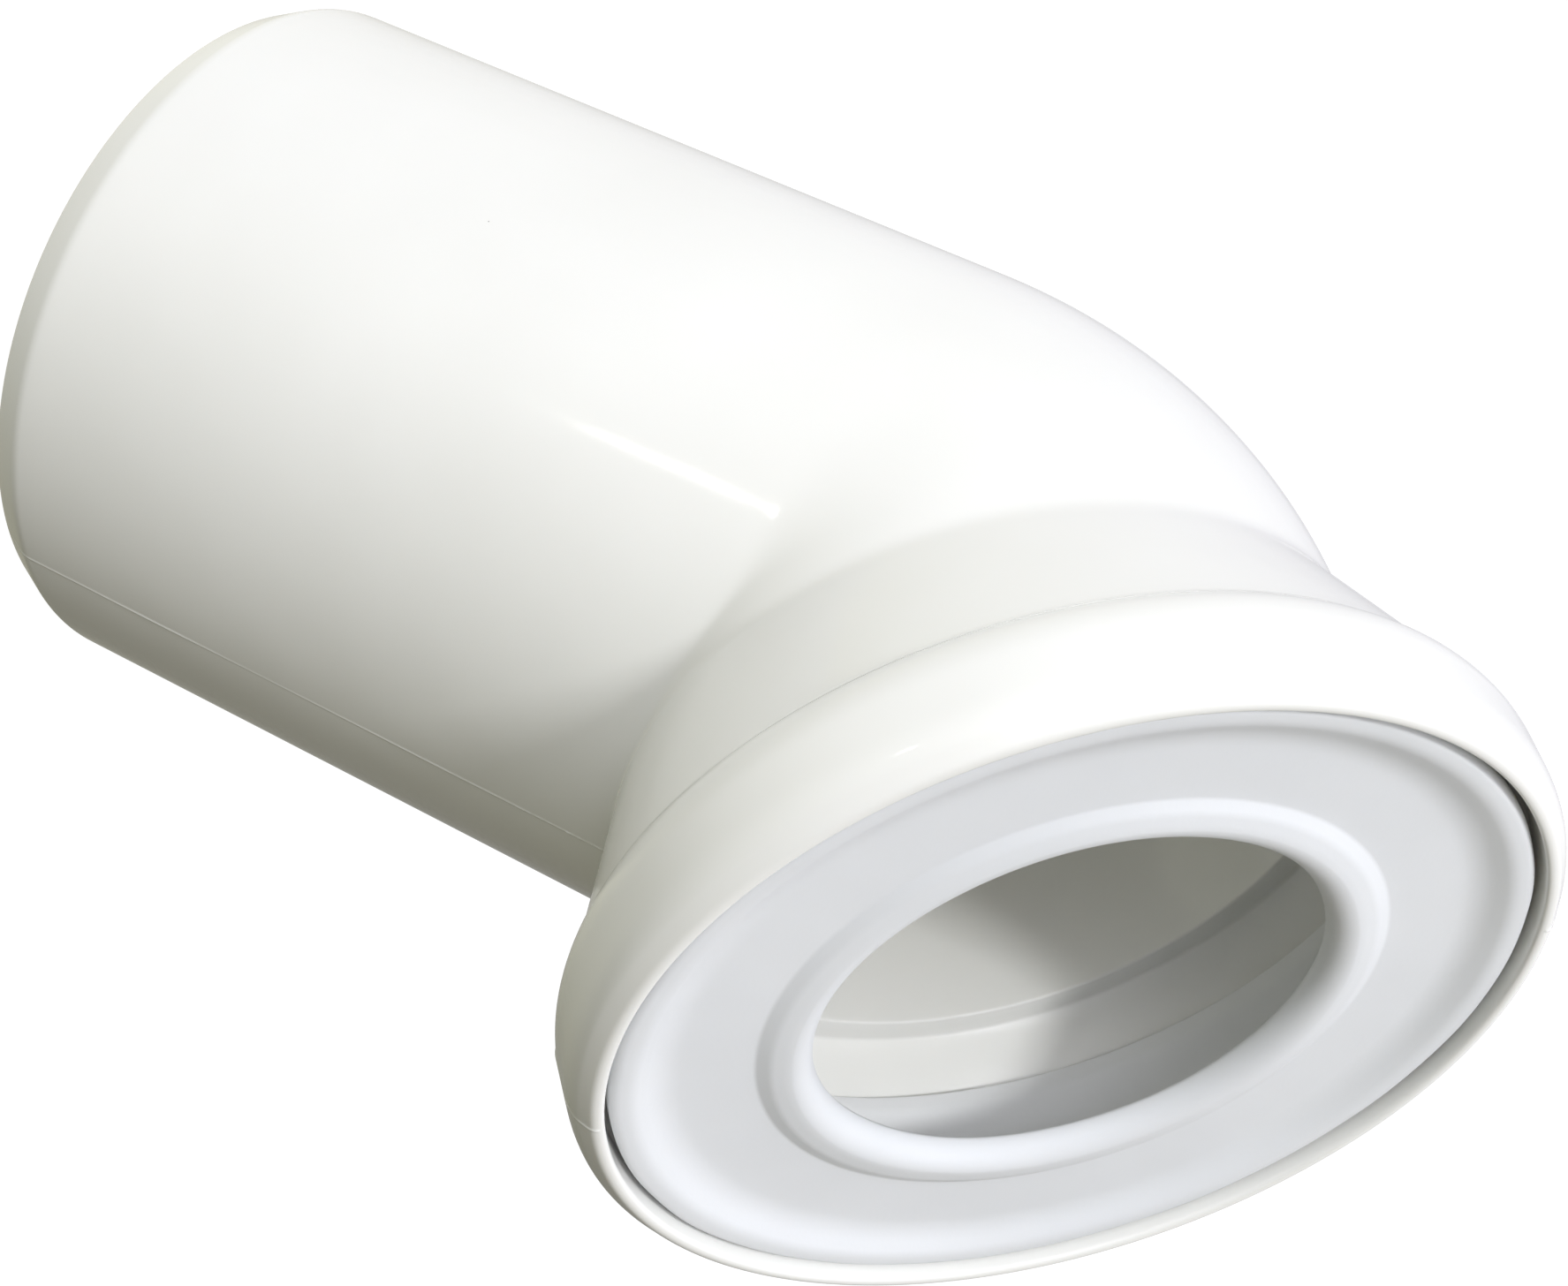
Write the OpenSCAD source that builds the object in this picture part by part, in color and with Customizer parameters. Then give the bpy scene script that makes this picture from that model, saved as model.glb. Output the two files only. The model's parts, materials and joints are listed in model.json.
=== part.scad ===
// 45 degree toilet connector bend: a DN 110 spigot, a short bend and a flared socket
// that holds a push-in lip seal for the toilet's outlet.
// Frame: origin at the centre of the spigot's end face, +Z along the spigot,
// the socket leans from +Z towards +X. Sizes in millimetres.

/* [Spigot] */
// Outside radius of the pipe, DN 110
pipe_r = 55; // [50:0.5:60]
// Bore radius of the pipe
bore_r = 50.8; // [44:0.2:51]
// Height of the point where the two axes cross, above the spigot's end
axis_z = 136; // [130:1:180]
// Length of the lead-in taper on the spigot's end
lead_len = 5.8; // [3:0.2:10]
// Outside radius of the spigot's end face
lead_r = 52.1; // [51.6:0.1:54]

/* [Bend] */
// Angle between the two axes
bend_angle = 45; // [45:1:50]
// Radius of the bend on the centreline
bend_r = 36; // [30:1:38]

/* [Socket] */
// Distance from the crossing point to the crease where the flare starts
flare_s = 20.8; // [20:0.2:22]
// Distance to the crease where the flare meets the rim
rim_s = 46.3; // [44:0.5:50]
// Outside radius at that crease
rim_start_r = 65.9; // [65:0.1:67]
// Largest outside radius of the rim
rim_r = 69.2; // [68.5:0.1:71]
// Distance to the front of the rim
front_s = 65; // [64.8:0.1:66]
// Inside radius of the recess around the seal's front
recess_r = 64.9; // [64.5:0.1:65.5]

/* [Seal] */
// Radius of the seal's bead at the front
bead_r = 63.6; // [62:0.1:64]
// Radius of the opening in the relaxed lip
lip_r = 35.9; // [34:0.1:40]
// Radius of the crest of the rolled lip
crest_r = 39.6; // [39:0.1:41]
// Radius of the foot of the raised ring around the opening
foot_r = 43.7; // [43:0.1:46]
// Thickness of the membrane
membrane_t = 2.2; // [1.6:0.1:2.4]
// Free space between the seal and the socket's wall
seal_gap = 0.3; // [0.2:0.05:0.4]

/* [Hidden] */

$fn = 96;
ARC_STEPS = 8;
// Sliver left free along the bend's own centre line, so that the turn has no folded edge
PIVOT_GAP = 0.02;
// Moulding draft: how much the outside radius grows from the true length to the bend
DRAFT = 0.05;
BIG = 400;

// Where the one moulding is divided into simple lengths
spigot_top = 111;
collar_s = 24;

// The spigot is a true cylinder up to true_len, and drafted from there to its top
true_len = 60;
bend_pipe_r = pipe_r + DRAFT;

// Distance along either axis from the crossing point to the ends of the bend
bend_t = bend_r * tan(bend_angle / 2);
bend_z = axis_z - bend_t;

// Slope of the flare: outside radius gained for each millimetre along the axis
flare_k = (rim_start_r - pipe_r) / (rim_s - flare_s);
function flare_r(s) = pipe_r + (s - flare_s) * flare_k;

// Socket inside: bore, stop shoulder, tapered seat, chamber and front recess
stop_s = 28.9;
stop_chamfer = 0.6;
seat_wall = 3.4;
recess_s = 59;
recess_chamfer = 1.5;
function seat_r(s) = flare_r(min(s, rim_s)) - seat_wall;

// Rim outside: an arc up from the crease, a short level crown, the nose and a small front edge
rim_top_s = 53.6;
crown_end_s = 58.6;
nose_s = 63.6;
nose_r = 67.2;
nose_edge = 1.1;
rim_rise = rim_r - rim_start_r;
rim_back_r = (pow(rim_rise, 2) + pow(rim_top_s - rim_s, 2)) / (2 * rim_rise);
rim_back_a = asin((rim_top_s - rim_s) / rim_back_r);

// Stiff ring inside the seal
ring_back_s = 38.4;
ring_bare = 2.6;
ring_front_s = 57;
ring_in_back_r = 56.4;
ring_in_front_r = 58.2;
rubber_t = 1.3;
function rubber_r(s) = seat_r(s) - seal_gap;
function ring_out_r(s) = rubber_r(s) - rubber_t;

// Seal front, distances along the socket's axis
face_s = 61.1;
bead_front_s = 63.4;
bead_back_s = 59.8;
bead_round = 1.4;
step_r = 59.4;
step_w = 1.2;
crest_s = 62.6;
crest_h = 1.2;
foot_back = 0.8;
lip_s = 59.1;
lip_t = 1.1;
rib_s = [44.5, 50, 55.5];
rib_h = 0.7;
rib_w = 1.8;

// Points of an elliptical arc about [cx, cy] from angle a0 to a1
function arc(cx, cy, rx, ry, a0, a1) =
    [for (i = [0:ARC_STEPS])
        let (a = a0 + (a1 - a0) * i / ARC_STEPS)
        [cx + rx * cos(a), cy + ry * sin(a)]];

// Puts a shape made along +Z onto the socket's axis, measured from the crossing point
module on_socket_axis() {
    translate([0, 0, axis_z])
        rotate([0, bend_angle, 0])
            children();
}

// A full turn of a profile of [radius, distance] points about the socket's axis
module socket_turn(profile) {
    on_socket_axis()
        rotate_extrude()
            polygon(profile);
}

// Straight pipe with its lead-in taper
module spigot_pipe() {
    color("ghostwhite")
        rotate_extrude()
            polygon([
                [bore_r, 0],
                [lead_r, 0],
                [pipe_r, lead_len],
                [pipe_r, true_len],
                [bend_pipe_r, spigot_top],
                [bore_r, spigot_top]
            ]);
}

// Half-space on the spigot's side of the plane that halves the bend
module spigot_side() {
    translate([0, 0, axis_z])
        rotate([0, bend_angle / 2, 0])
            translate([-BIG / 2, -BIG / 2, -BIG])
                cube(BIG);
}

// Half-space on the socket's side of that plane
module socket_side() {
    translate([0, 0, axis_z])
        rotate([0, bend_angle / 2, 0])
            translate([-BIG / 2, -BIG / 2, 0])
                cube(BIG);
}

// A length of the bend's wall from z0 to z1
module pipe_wall(z0, z1) {
    translate([0, 0, z0])
        linear_extrude(z1 - z0)
            pipe_section();
}

// Ring-shaped section of the bend
module pipe_section() {
    difference() {
        circle(bend_pipe_r);
        circle(bore_r);
    }
}

// The curved length of the wall, cut off just short of the bend's own centre line
module bend_wall() {
    translate([bend_r, 0, bend_z])
        rotate([90, 0, 180])
            rotate_extrude(angle = bend_angle)
                intersection() {
                    translate([bend_r, 0])
                        pipe_section();
                    translate([PIVOT_GAP, -BIG / 2])
                        square(BIG);
                }
}

// First few millimetres of the flare, as far as the collar
module flare_root() {
    socket_turn([
        [bore_r + 1, flare_s],
        [bend_pipe_r, flare_s],
        [flare_r(collar_s), collar_s],
        [bore_r + 1, collar_s]
    ]);
}

// The bend: outside it is a smooth arc, and in the throat the two lengths meet at a corner
module bend_elbow() {
    color("ghostwhite")
        union() {
            bend_wall();
            intersection() {
                pipe_wall(spigot_top, bend_z);
                spigot_side();
            }
            intersection() {
                on_socket_axis()
                    pipe_wall(bend_t, collar_s);
                socket_side();
            }
            flare_root();
        }
}

// Flare and rounded rim, with the stop shoulder and the tapered seat inside
module socket_collar() {
    rim_back = arc(rim_r - rim_back_r, rim_top_s, rim_back_r, rim_back_r, -rim_back_a, 0);
    rim_nose = arc(nose_r, crown_end_s, rim_r - nose_r, nose_s - crown_end_s, 0, 70);
    nose_out = arc(nose_r - nose_edge, front_s - nose_edge, nose_edge, nose_edge, 30, 90);
    nose_in = arc(recess_r + nose_edge, front_s - nose_edge, nose_edge, nose_edge, 90, 180);
    color("ghostwhite")
        socket_turn(concat(
            [[bore_r, collar_s], [flare_r(collar_s), collar_s]],
            rim_back,
            rim_nose,
            nose_out,
            nose_in,
            [
                [recess_r, recess_s],
                [seat_r(rim_s), recess_s - recess_chamfer],
                [seat_r(rim_s), rim_s],
                [seat_r(stop_s), stop_s],
                [bore_r + stop_chamfer, stop_s],
                [bore_r, stop_s - stop_chamfer]
            ]
        ));
}

// Stiff tapered ring that holds the rubber against the seat
module support_ring() {
    bare_s = ring_back_s + ring_bare;
    color("gainsboro")
        socket_turn([
            [ring_in_back_r, ring_back_s],
            [rubber_r(ring_back_s) - seal_gap, ring_back_s],
            [rubber_r(bare_s) - seal_gap, bare_s],
            [ring_out_r(bare_s), bare_s],
            [ring_out_r(rim_s), rim_s],
            [ring_out_r(rim_s), ring_front_s],
            [ring_in_front_r, ring_front_s],
            [ring_in_front_r, rim_s],
            [ring_in_back_r, bare_s]
        ]);
}

// Outline of one sealing rib, a low round-topped ridge on the sleeve at distance s
function rib(s) =
    [for (i = [0:ARC_STEPS])
        let (at = s + rib_w * (i / ARC_STEPS - 0.5))
        [rubber_r(at) - rib_h * (1 - sin(180 * i / ARC_STEPS)), at]];

// Rubber sleeve, front bead, membrane and the raised ring that rolls into the lip
module lip_seal() {
    bare_s = ring_back_s + ring_bare;
    bead = concat(
        arc(bead_r - bead_round, bead_back_s + bead_round, bead_round, bead_round, -90, 0),
        arc(bead_r - bead_round, bead_front_s - bead_round, bead_round, bead_round, 0, 90)
    );
    crest = arc(crest_r, crest_s - crest_h, foot_r - crest_r - 1, crest_h, 30, 80);
    roll = arc(crest_r, lip_s, crest_r - lip_r, crest_s - lip_s, 90, 180);
    under = arc(crest_r, lip_s, crest_r - lip_r - lip_t, crest_s - lip_s - lip_t, 180, 100);
    color("lightsteelblue")
        socket_turn(concat(
            [
                [ring_out_r(bare_s), bare_s],
                [rubber_r(bare_s) - rib_h, bare_s]
            ],
            [for (s = rib_s) each rib(s)],
            [[rubber_r(rim_s) - rib_h, bead_back_s]],
            bead,
            [
                [step_r + step_w, bead_front_s],
                [step_r, face_s],
                [foot_r, face_s]
            ],
            crest,
            roll,
            [[lip_r + lip_t / 2, lip_s - lip_t / 2]],
            under,
            [
                [foot_r - foot_back, face_s - membrane_t],
                [ring_in_front_r, face_s - membrane_t],
                [ring_in_front_r, ring_front_s],
                [ring_out_r(rim_s), ring_front_s],
                [ring_out_r(rim_s), rim_s]
            ]
        ));
}

spigot_pipe();
bend_elbow();
socket_collar();
support_ring();
lip_seal();
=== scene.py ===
"""Looks for a 45 degree toilet connector bend with a push-in lip seal.

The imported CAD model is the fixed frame: metres, origin at the centre of the spigot's end face, +Z
along the spigot, and the socket leans from +Z towards +X. Three visual pieces stand for the five
CAD nodes. The connector's one moulding is a single skin, closed around the bore. The lip seal and
the ring inside it are turned shapes that ride together on the removable body.
"""

from __future__ import annotations

import json
import logging
import math
from dataclasses import dataclass, field
from enum import Enum
from typing import Sequence

import bpy
import numpy as np
from mathutils import Matrix, Vector


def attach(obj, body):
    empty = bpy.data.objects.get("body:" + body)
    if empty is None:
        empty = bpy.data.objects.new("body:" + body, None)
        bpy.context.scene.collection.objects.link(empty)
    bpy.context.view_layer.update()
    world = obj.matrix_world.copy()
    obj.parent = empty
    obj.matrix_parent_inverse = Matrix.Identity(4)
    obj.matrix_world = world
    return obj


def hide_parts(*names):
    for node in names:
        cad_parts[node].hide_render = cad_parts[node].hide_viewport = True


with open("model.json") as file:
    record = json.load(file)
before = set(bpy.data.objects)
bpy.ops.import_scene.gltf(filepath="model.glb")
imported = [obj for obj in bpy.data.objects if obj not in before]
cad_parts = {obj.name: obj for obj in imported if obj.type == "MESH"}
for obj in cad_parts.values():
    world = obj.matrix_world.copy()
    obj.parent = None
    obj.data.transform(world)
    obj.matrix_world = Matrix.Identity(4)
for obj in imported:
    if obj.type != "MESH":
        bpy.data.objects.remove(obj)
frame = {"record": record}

LOG = logging.getLogger("connector")
MM = 0.001
FULL_TURN = 2 * math.pi
TINY = 1e-12

Point2 = tuple[float, float]
Colour = tuple[float, float, float]
Tree = bpy.types.NodeTree
Socket = bpy.types.NodeSocket


class Body(str, Enum):
    """The CAD bodies that pieces ride on."""

    CONNECTOR = "connector"
    SEAL = "seal"


class Mask(str, Enum):
    """The per-vertex masks that the finishes read."""

    # The parting-line flash: its lighter colour is partly the flash's own and partly a painted
    # highlight of the light its ridge catches.
    FLASH_HIGHLIGHT = "flash_highlight"
    WEAR = "wear"


class Slot(str, Enum):
    """The record's material slots."""

    MOULDING = "white_moulding"
    RING = "ring_plastic"
    RUBBER = "seal_rubber"


# -------------------------------------------------------------------------------------------------
# Frame and numpy surfaces
# -------------------------------------------------------------------------------------------------


@dataclass(frozen=True)
class SocketAxis:
    """The socket's axis: the height where it crosses the spigot's axis, and its lean from +Z."""

    crossing: float
    lean: float

    @classmethod
    def from_record(cls, record: dict) -> "SocketAxis":
        """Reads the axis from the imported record's mount at the socket's mouth.

        Args:
            record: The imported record.

        Returns:
            The axis that the mount and its direction give.
        """
        mouth = next(m for m in record["mounts"] if m["name"] == "pan_socket")
        lean = math.atan2(mouth["axis"][0], mouth["axis"][2])
        height = mouth["pos_m"][2] - mouth["pos_m"][0] / math.tan(lean)
        return cls(crossing=height, lean=lean)

    @property
    def direction(self) -> np.ndarray:
        """Unit vector from the crossing point out of the socket."""
        return np.array([math.sin(self.lean), 0.0, math.cos(self.lean)])

    @property
    def throat(self) -> np.ndarray:
        """Unit vector from the axis to the inside of the bend, at azimuth 0."""
        return np.array([math.cos(self.lean), 0.0, -math.sin(self.lean)])

    @property
    def origin(self) -> np.ndarray:
        """The crossing point."""
        return np.array([0.0, 0.0, self.crossing])

    def place(self, radius: np.ndarray, azimuth: np.ndarray, along: np.ndarray) -> np.ndarray:
        """Points around the axis: crossing + along * axis + radius * (cos * throat + sin * Y).

        Args:
            radius: Distances from the axis.
            azimuth: Angles from the throat side, in radians.
            along: Distances from the crossing point.

        Returns:
            Points with a last axis of three, in the arrays' common shape.
        """
        radius, azimuth, along = np.broadcast_arrays(radius, azimuth, along)
        side = np.array([0.0, 1.0, 0.0])
        return (
            self.origin
            + along[..., None] * self.direction
            + (radius * np.cos(azimuth))[..., None] * self.throat
            + (radius * np.sin(azimuth))[..., None] * side
        )


def rounded(corners: Sequence[Sequence[float]], steps: int = 6) -> np.ndarray:
    """A polyline whose corners are rounded with quadratic curves.

    Each corner is (x, y, reach): the curve leaves the line that far before the corner and joins the
    next line that far after it. A reach of 0 keeps the corner.

    Args:
        corners: Corners in order, with the reach of each.
        steps: Pieces in each rounded corner.

    Returns:
        The points of the line, one row each.
    """
    points: list[np.ndarray] = []
    xy = np.array([c[:2] for c in corners], float)
    reach = [c[2] if len(c) > 2 else 0.0 for c in corners]
    t = np.linspace(0, 1, steps + 1)[:, None]
    for i, corner in enumerate(xy):
        if reach[i] <= 0 or i in (0, len(xy) - 1):
            points.append(corner[None])
            continue
        back, ahead = xy[i - 1] - corner, xy[i + 1] - corner
        start = corner + back / np.linalg.norm(back) * reach[i]
        end = corner + ahead / np.linalg.norm(ahead) * reach[i]
        points.append((1 - t) ** 2 * start + 2 * t * (1 - t) * corner + t**2 * end)
    return np.concatenate(points)


def arc(centre: Point2, radii: Point2, start: float, end: float, steps: int) -> np.ndarray:
    """Points of an elliptical arc: centre + (rx cos a, ry sin a), a in degrees, start to end."""
    a = np.radians(np.linspace(start, end, steps + 1))
    return np.stack([centre[0] + radii[0] * np.cos(a), centre[1] + radii[1] * np.sin(a)], -1)


def resample(line: np.ndarray, spacing: float) -> np.ndarray:
    """Adds points to the long stretches of a polyline, so that none is longer than the spacing.

    Args:
        line: Points in order.
        spacing: Longest stretch allowed.

    Returns:
        The same line with its own points kept.
    """
    parts = [line[:1]]
    for a, b in zip(line[:-1], line[1:]):
        count = max(1, int(math.ceil(np.linalg.norm(b - a) / spacing)))
        parts.append(a + (b - a) * (np.arange(1, count + 1) / count)[:, None])
    return np.concatenate(parts)


def smoothed(rows: np.ndarray, sigma: float) -> np.ndarray:
    """Blurs a grid of points along its first axis with a Gaussian, keeping straight ends straight.

    The ends are continued by odd reflection, so a straight stretch comes out unchanged.

    Args:
        rows: Grid of points, rows first.
        sigma: Width of the Gaussian, in rows.

    Returns:
        The blurred grid.
    """
    half = int(math.ceil(3 * sigma))
    weights = np.exp(-0.5 * (np.arange(-half, half + 1) / sigma) ** 2)
    weights /= weights.sum()
    before = 2 * rows[:1] - rows[half:0:-1]
    after = 2 * rows[-1:] - rows[-2 : -half - 2 : -1]
    padded = np.concatenate([before, rows, after])
    return sum(w * padded[i : i + len(rows)] for i, w in enumerate(weights))


def grid_normals(points: np.ndarray) -> np.ndarray:
    """Unit normals of a grid that is closed both ways: change along columns x change along rows.

    Args:
        points: Grid of points, rows first.

    Returns:
        A unit normal for each point.
    """
    across = np.roll(points, -1, 1) - np.roll(points, 1, 1)
    along = np.roll(points, -1, 0) - np.roll(points, 1, 0)
    normal = np.cross(across, along)
    return normal / np.maximum(np.linalg.norm(normal, axis=-1, keepdims=True), TINY)


def smooth_noise(azimuth: np.ndarray, seed: int, waves: Sequence[int]) -> np.ndarray:
    """A seeded, periodic, uneven line between about -1 and 1: a sum of cosines with random phases.

    Args:
        azimuth: Angles in radians.
        seed: Seed of the phases.
        waves: Waves in a full turn, one cosine each.

    Returns:
        The line at each angle.
    """
    random = np.random.default_rng(seed)
    phases = random.uniform(0, FULL_TURN, len(waves))
    total = sum(np.cos(n * azimuth + p) for n, p in zip(waves, phases))
    return total / math.sqrt(len(waves))


def mesh_from_grid(name: str, points: np.ndarray) -> bpy.types.Object:
    """Makes a closed, smooth-shaded quad mesh from a grid whose rows and columns both close.

    Args:
        name: Name of the object and its mesh.
        points: Grid of shape (rows, columns, 3). Rows go from the outside's start forwards, and
            columns turn from the throat side towards +Y, which makes the faces point outwards.

    Returns:
        The new object, at the origin.
    """
    rows, cols = points.shape[:2]
    index = np.arange(rows * cols).reshape(rows, cols)
    right = np.roll(index, -1, 1)
    quads = np.stack([index, right, np.roll(right, -1, 0), np.roll(index, -1, 0)], -1)
    quads = quads.reshape(-1, 4)
    mesh = bpy.data.meshes.new(name)
    mesh.vertices.add(rows * cols)
    mesh.vertices.foreach_set("co", points.reshape(-1).astype(np.float32))
    mesh.loops.add(quads.size)
    mesh.loops.foreach_set("vertex_index", quads.reshape(-1).astype(np.int32))
    mesh.polygons.add(len(quads))
    mesh.polygons.foreach_set("loop_start", np.arange(0, quads.size, 4, dtype=np.int32))
    mesh.polygons.foreach_set("use_smooth", np.ones(len(quads), bool))
    mesh.update(calc_edges=True)
    mesh.validate()
    piece = bpy.data.objects.new(name, mesh)
    bpy.context.scene.collection.objects.link(piece)
    return piece


def set_mask(piece: bpy.types.Object, mask: Mask, values: np.ndarray) -> None:
    """Stores one number for each vertex as the mask that the finishes read."""
    layer = piece.data.attributes.new(mask.value, "FLOAT", "POINT")
    layer.data.foreach_set("value", values.reshape(-1).astype(np.float32))


# -------------------------------------------------------------------------------------------------
# Shader node groups
# -------------------------------------------------------------------------------------------------


def math_node(tree: Tree, operation: str, *values: Socket | float) -> Socket:
    """Adds a Math node.

    Args:
        tree: Tree or group that gets the node.
        operation: Name of the operation.
        values: The node's inputs in order, each a socket or a number.

    Returns:
        The node's output.
    """
    made = tree.nodes.new("ShaderNodeMath")
    made.operation = operation
    for socket, value in zip(made.inputs, values):
        if isinstance(value, bpy.types.NodeSocket):
            tree.links.new(value, socket)
        else:
            socket.default_value = value
    return made.outputs[0]


def noise_node(
    tree: Tree, position: Socket, scale: Socket | float, detail: float, roughness: float = 0.5
) -> Socket:
    """Adds a Noise Texture.

    Args:
        tree: Tree or group that gets the node.
        position: Where the noise is read.
        scale: Scale of the noise, a socket or a number.
        detail: Octaves.
        roughness: Weight of the finer octaves.

    Returns:
        The noise's value.
    """
    made = tree.nodes.new("ShaderNodeTexNoise")
    made.inputs["Detail"].default_value = detail
    made.inputs["Roughness"].default_value = roughness
    tree.links.new(position, made.inputs["Vector"])
    if isinstance(scale, bpy.types.NodeSocket):
        tree.links.new(scale, made.inputs["Scale"])
    else:
        made.inputs["Scale"].default_value = scale
    return made.outputs["Fac"]


class NodeGroups:
    """The shared effects, each a shader node group that is built once."""

    SCRATCH_TURN = (0.5, 0.9, 0.3)
    SCRATCH_STRETCH = (1.0, 6.0, 0.6)
    SCRATCH_PATCH_SCALE = 55.0

    def __init__(self) -> None:
        """Builds every group."""
        self.relief = self._moulded_relief()
        self.specks = self._specks()
        self.scratches = self._scratches()

    @staticmethod
    def _new(
        name: str, inputs: Sequence[tuple[str, float]], outputs: Sequence[str]
    ) -> tuple[Tree, bpy.types.Node, bpy.types.Node]:
        """Starts a group with a position input, named float inputs and named float outputs.

        Args:
            name: Name of the group.
            inputs: Label and usual value of each float input.
            outputs: Label of each float output.

        Returns:
            The group, its input node and its output node.
        """
        group = bpy.data.node_groups.new(name, "ShaderNodeTree")
        group.interface.new_socket("Position", in_out="INPUT", socket_type="NodeSocketVector")
        for label, default in inputs:
            made = group.interface.new_socket(label, in_out="INPUT", socket_type="NodeSocketFloat")
            made.default_value = default
        for label in outputs:
            group.interface.new_socket(label, in_out="OUTPUT", socket_type="NodeSocketFloat")
        return group, group.nodes.new("NodeGroupInput"), group.nodes.new("NodeGroupOutput")

    def _moulded_relief(self) -> Tree:
        """Slow waves of a cooled moulding, plus the fine grain of its skin, as one height.

        Returns:
            The group, with the outputs Height and Wave.
        """
        group, start, end = self._new(
            "moulded_relief",
            [("Wave Scale", 28.0), ("Grain Scale", 900.0), ("Grain", 0.2)],
            ["Height", "Wave"],
        )
        position = start.outputs["Position"]
        wave = noise_node(group, position, start.outputs["Wave Scale"], 2.0)
        grain = noise_node(group, position, start.outputs["Grain Scale"], 3.0, 0.6)
        fine = math_node(group, "MULTIPLY", grain, start.outputs["Grain"])
        group.links.new(math_node(group, "ADD", wave, fine), end.inputs["Height"])
        group.links.new(wave, end.inputs["Wave"])
        return group

    def _specks(self) -> Tree:
        """Sparse small dots: the cores of the few Voronoi cells whose own random value is high.

        Returns:
            The group, with the output Mask.
        """
        inputs = [("Scale", 220.0), ("Size", 0.08), ("Share", 0.6)]
        group, start, end = self._new("specks", inputs, ["Mask"])
        cells = group.nodes.new("ShaderNodeTexVoronoi")
        group.links.new(start.outputs["Position"], cells.inputs["Vector"])
        group.links.new(start.outputs["Scale"], cells.inputs["Scale"])
        near = math_node(group, "LESS_THAN", cells.outputs["Distance"], start.outputs["Size"])
        split = group.nodes.new("ShaderNodeSeparateColor")
        group.links.new(cells.outputs["Color"], split.inputs["Color"])
        chosen = math_node(group, "GREATER_THAN", split.outputs["Red"], start.outputs["Share"])
        group.links.new(math_node(group, "MULTIPLY", near, chosen), end.inputs["Mask"])
        return group

    def _scratches(self) -> Tree:
        """Thin handling marks: the middle crossings of a stretched noise, broken up by another.

        Returns:
            The group, with the output Mask.
        """
        inputs = [("Scale", 30.0), ("Width", 0.004), ("Share", 0.70)]
        group, start, end = self._new("scratches", inputs, ["Mask"])
        stretch = group.nodes.new("ShaderNodeMapping")
        stretch.inputs["Rotation"].default_value = self.SCRATCH_TURN
        stretch.inputs["Scale"].default_value = self.SCRATCH_STRETCH
        group.links.new(start.outputs["Position"], stretch.inputs["Vector"])
        ripple = noise_node(group, stretch.outputs["Vector"], start.outputs["Scale"], 1.0)
        away = math_node(group, "ABSOLUTE", math_node(group, "SUBTRACT", ripple, 0.5))
        thin = math_node(group, "LESS_THAN", away, start.outputs["Width"])
        patch = noise_node(group, start.outputs["Position"], self.SCRATCH_PATCH_SCALE, 1.0)
        kept = math_node(group, "GREATER_THAN", patch, start.outputs["Share"])
        group.links.new(math_node(group, "MULTIPLY", thin, kept), end.inputs["Mask"])
        return group


# -------------------------------------------------------------------------------------------------
# Finishes
# -------------------------------------------------------------------------------------------------


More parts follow.
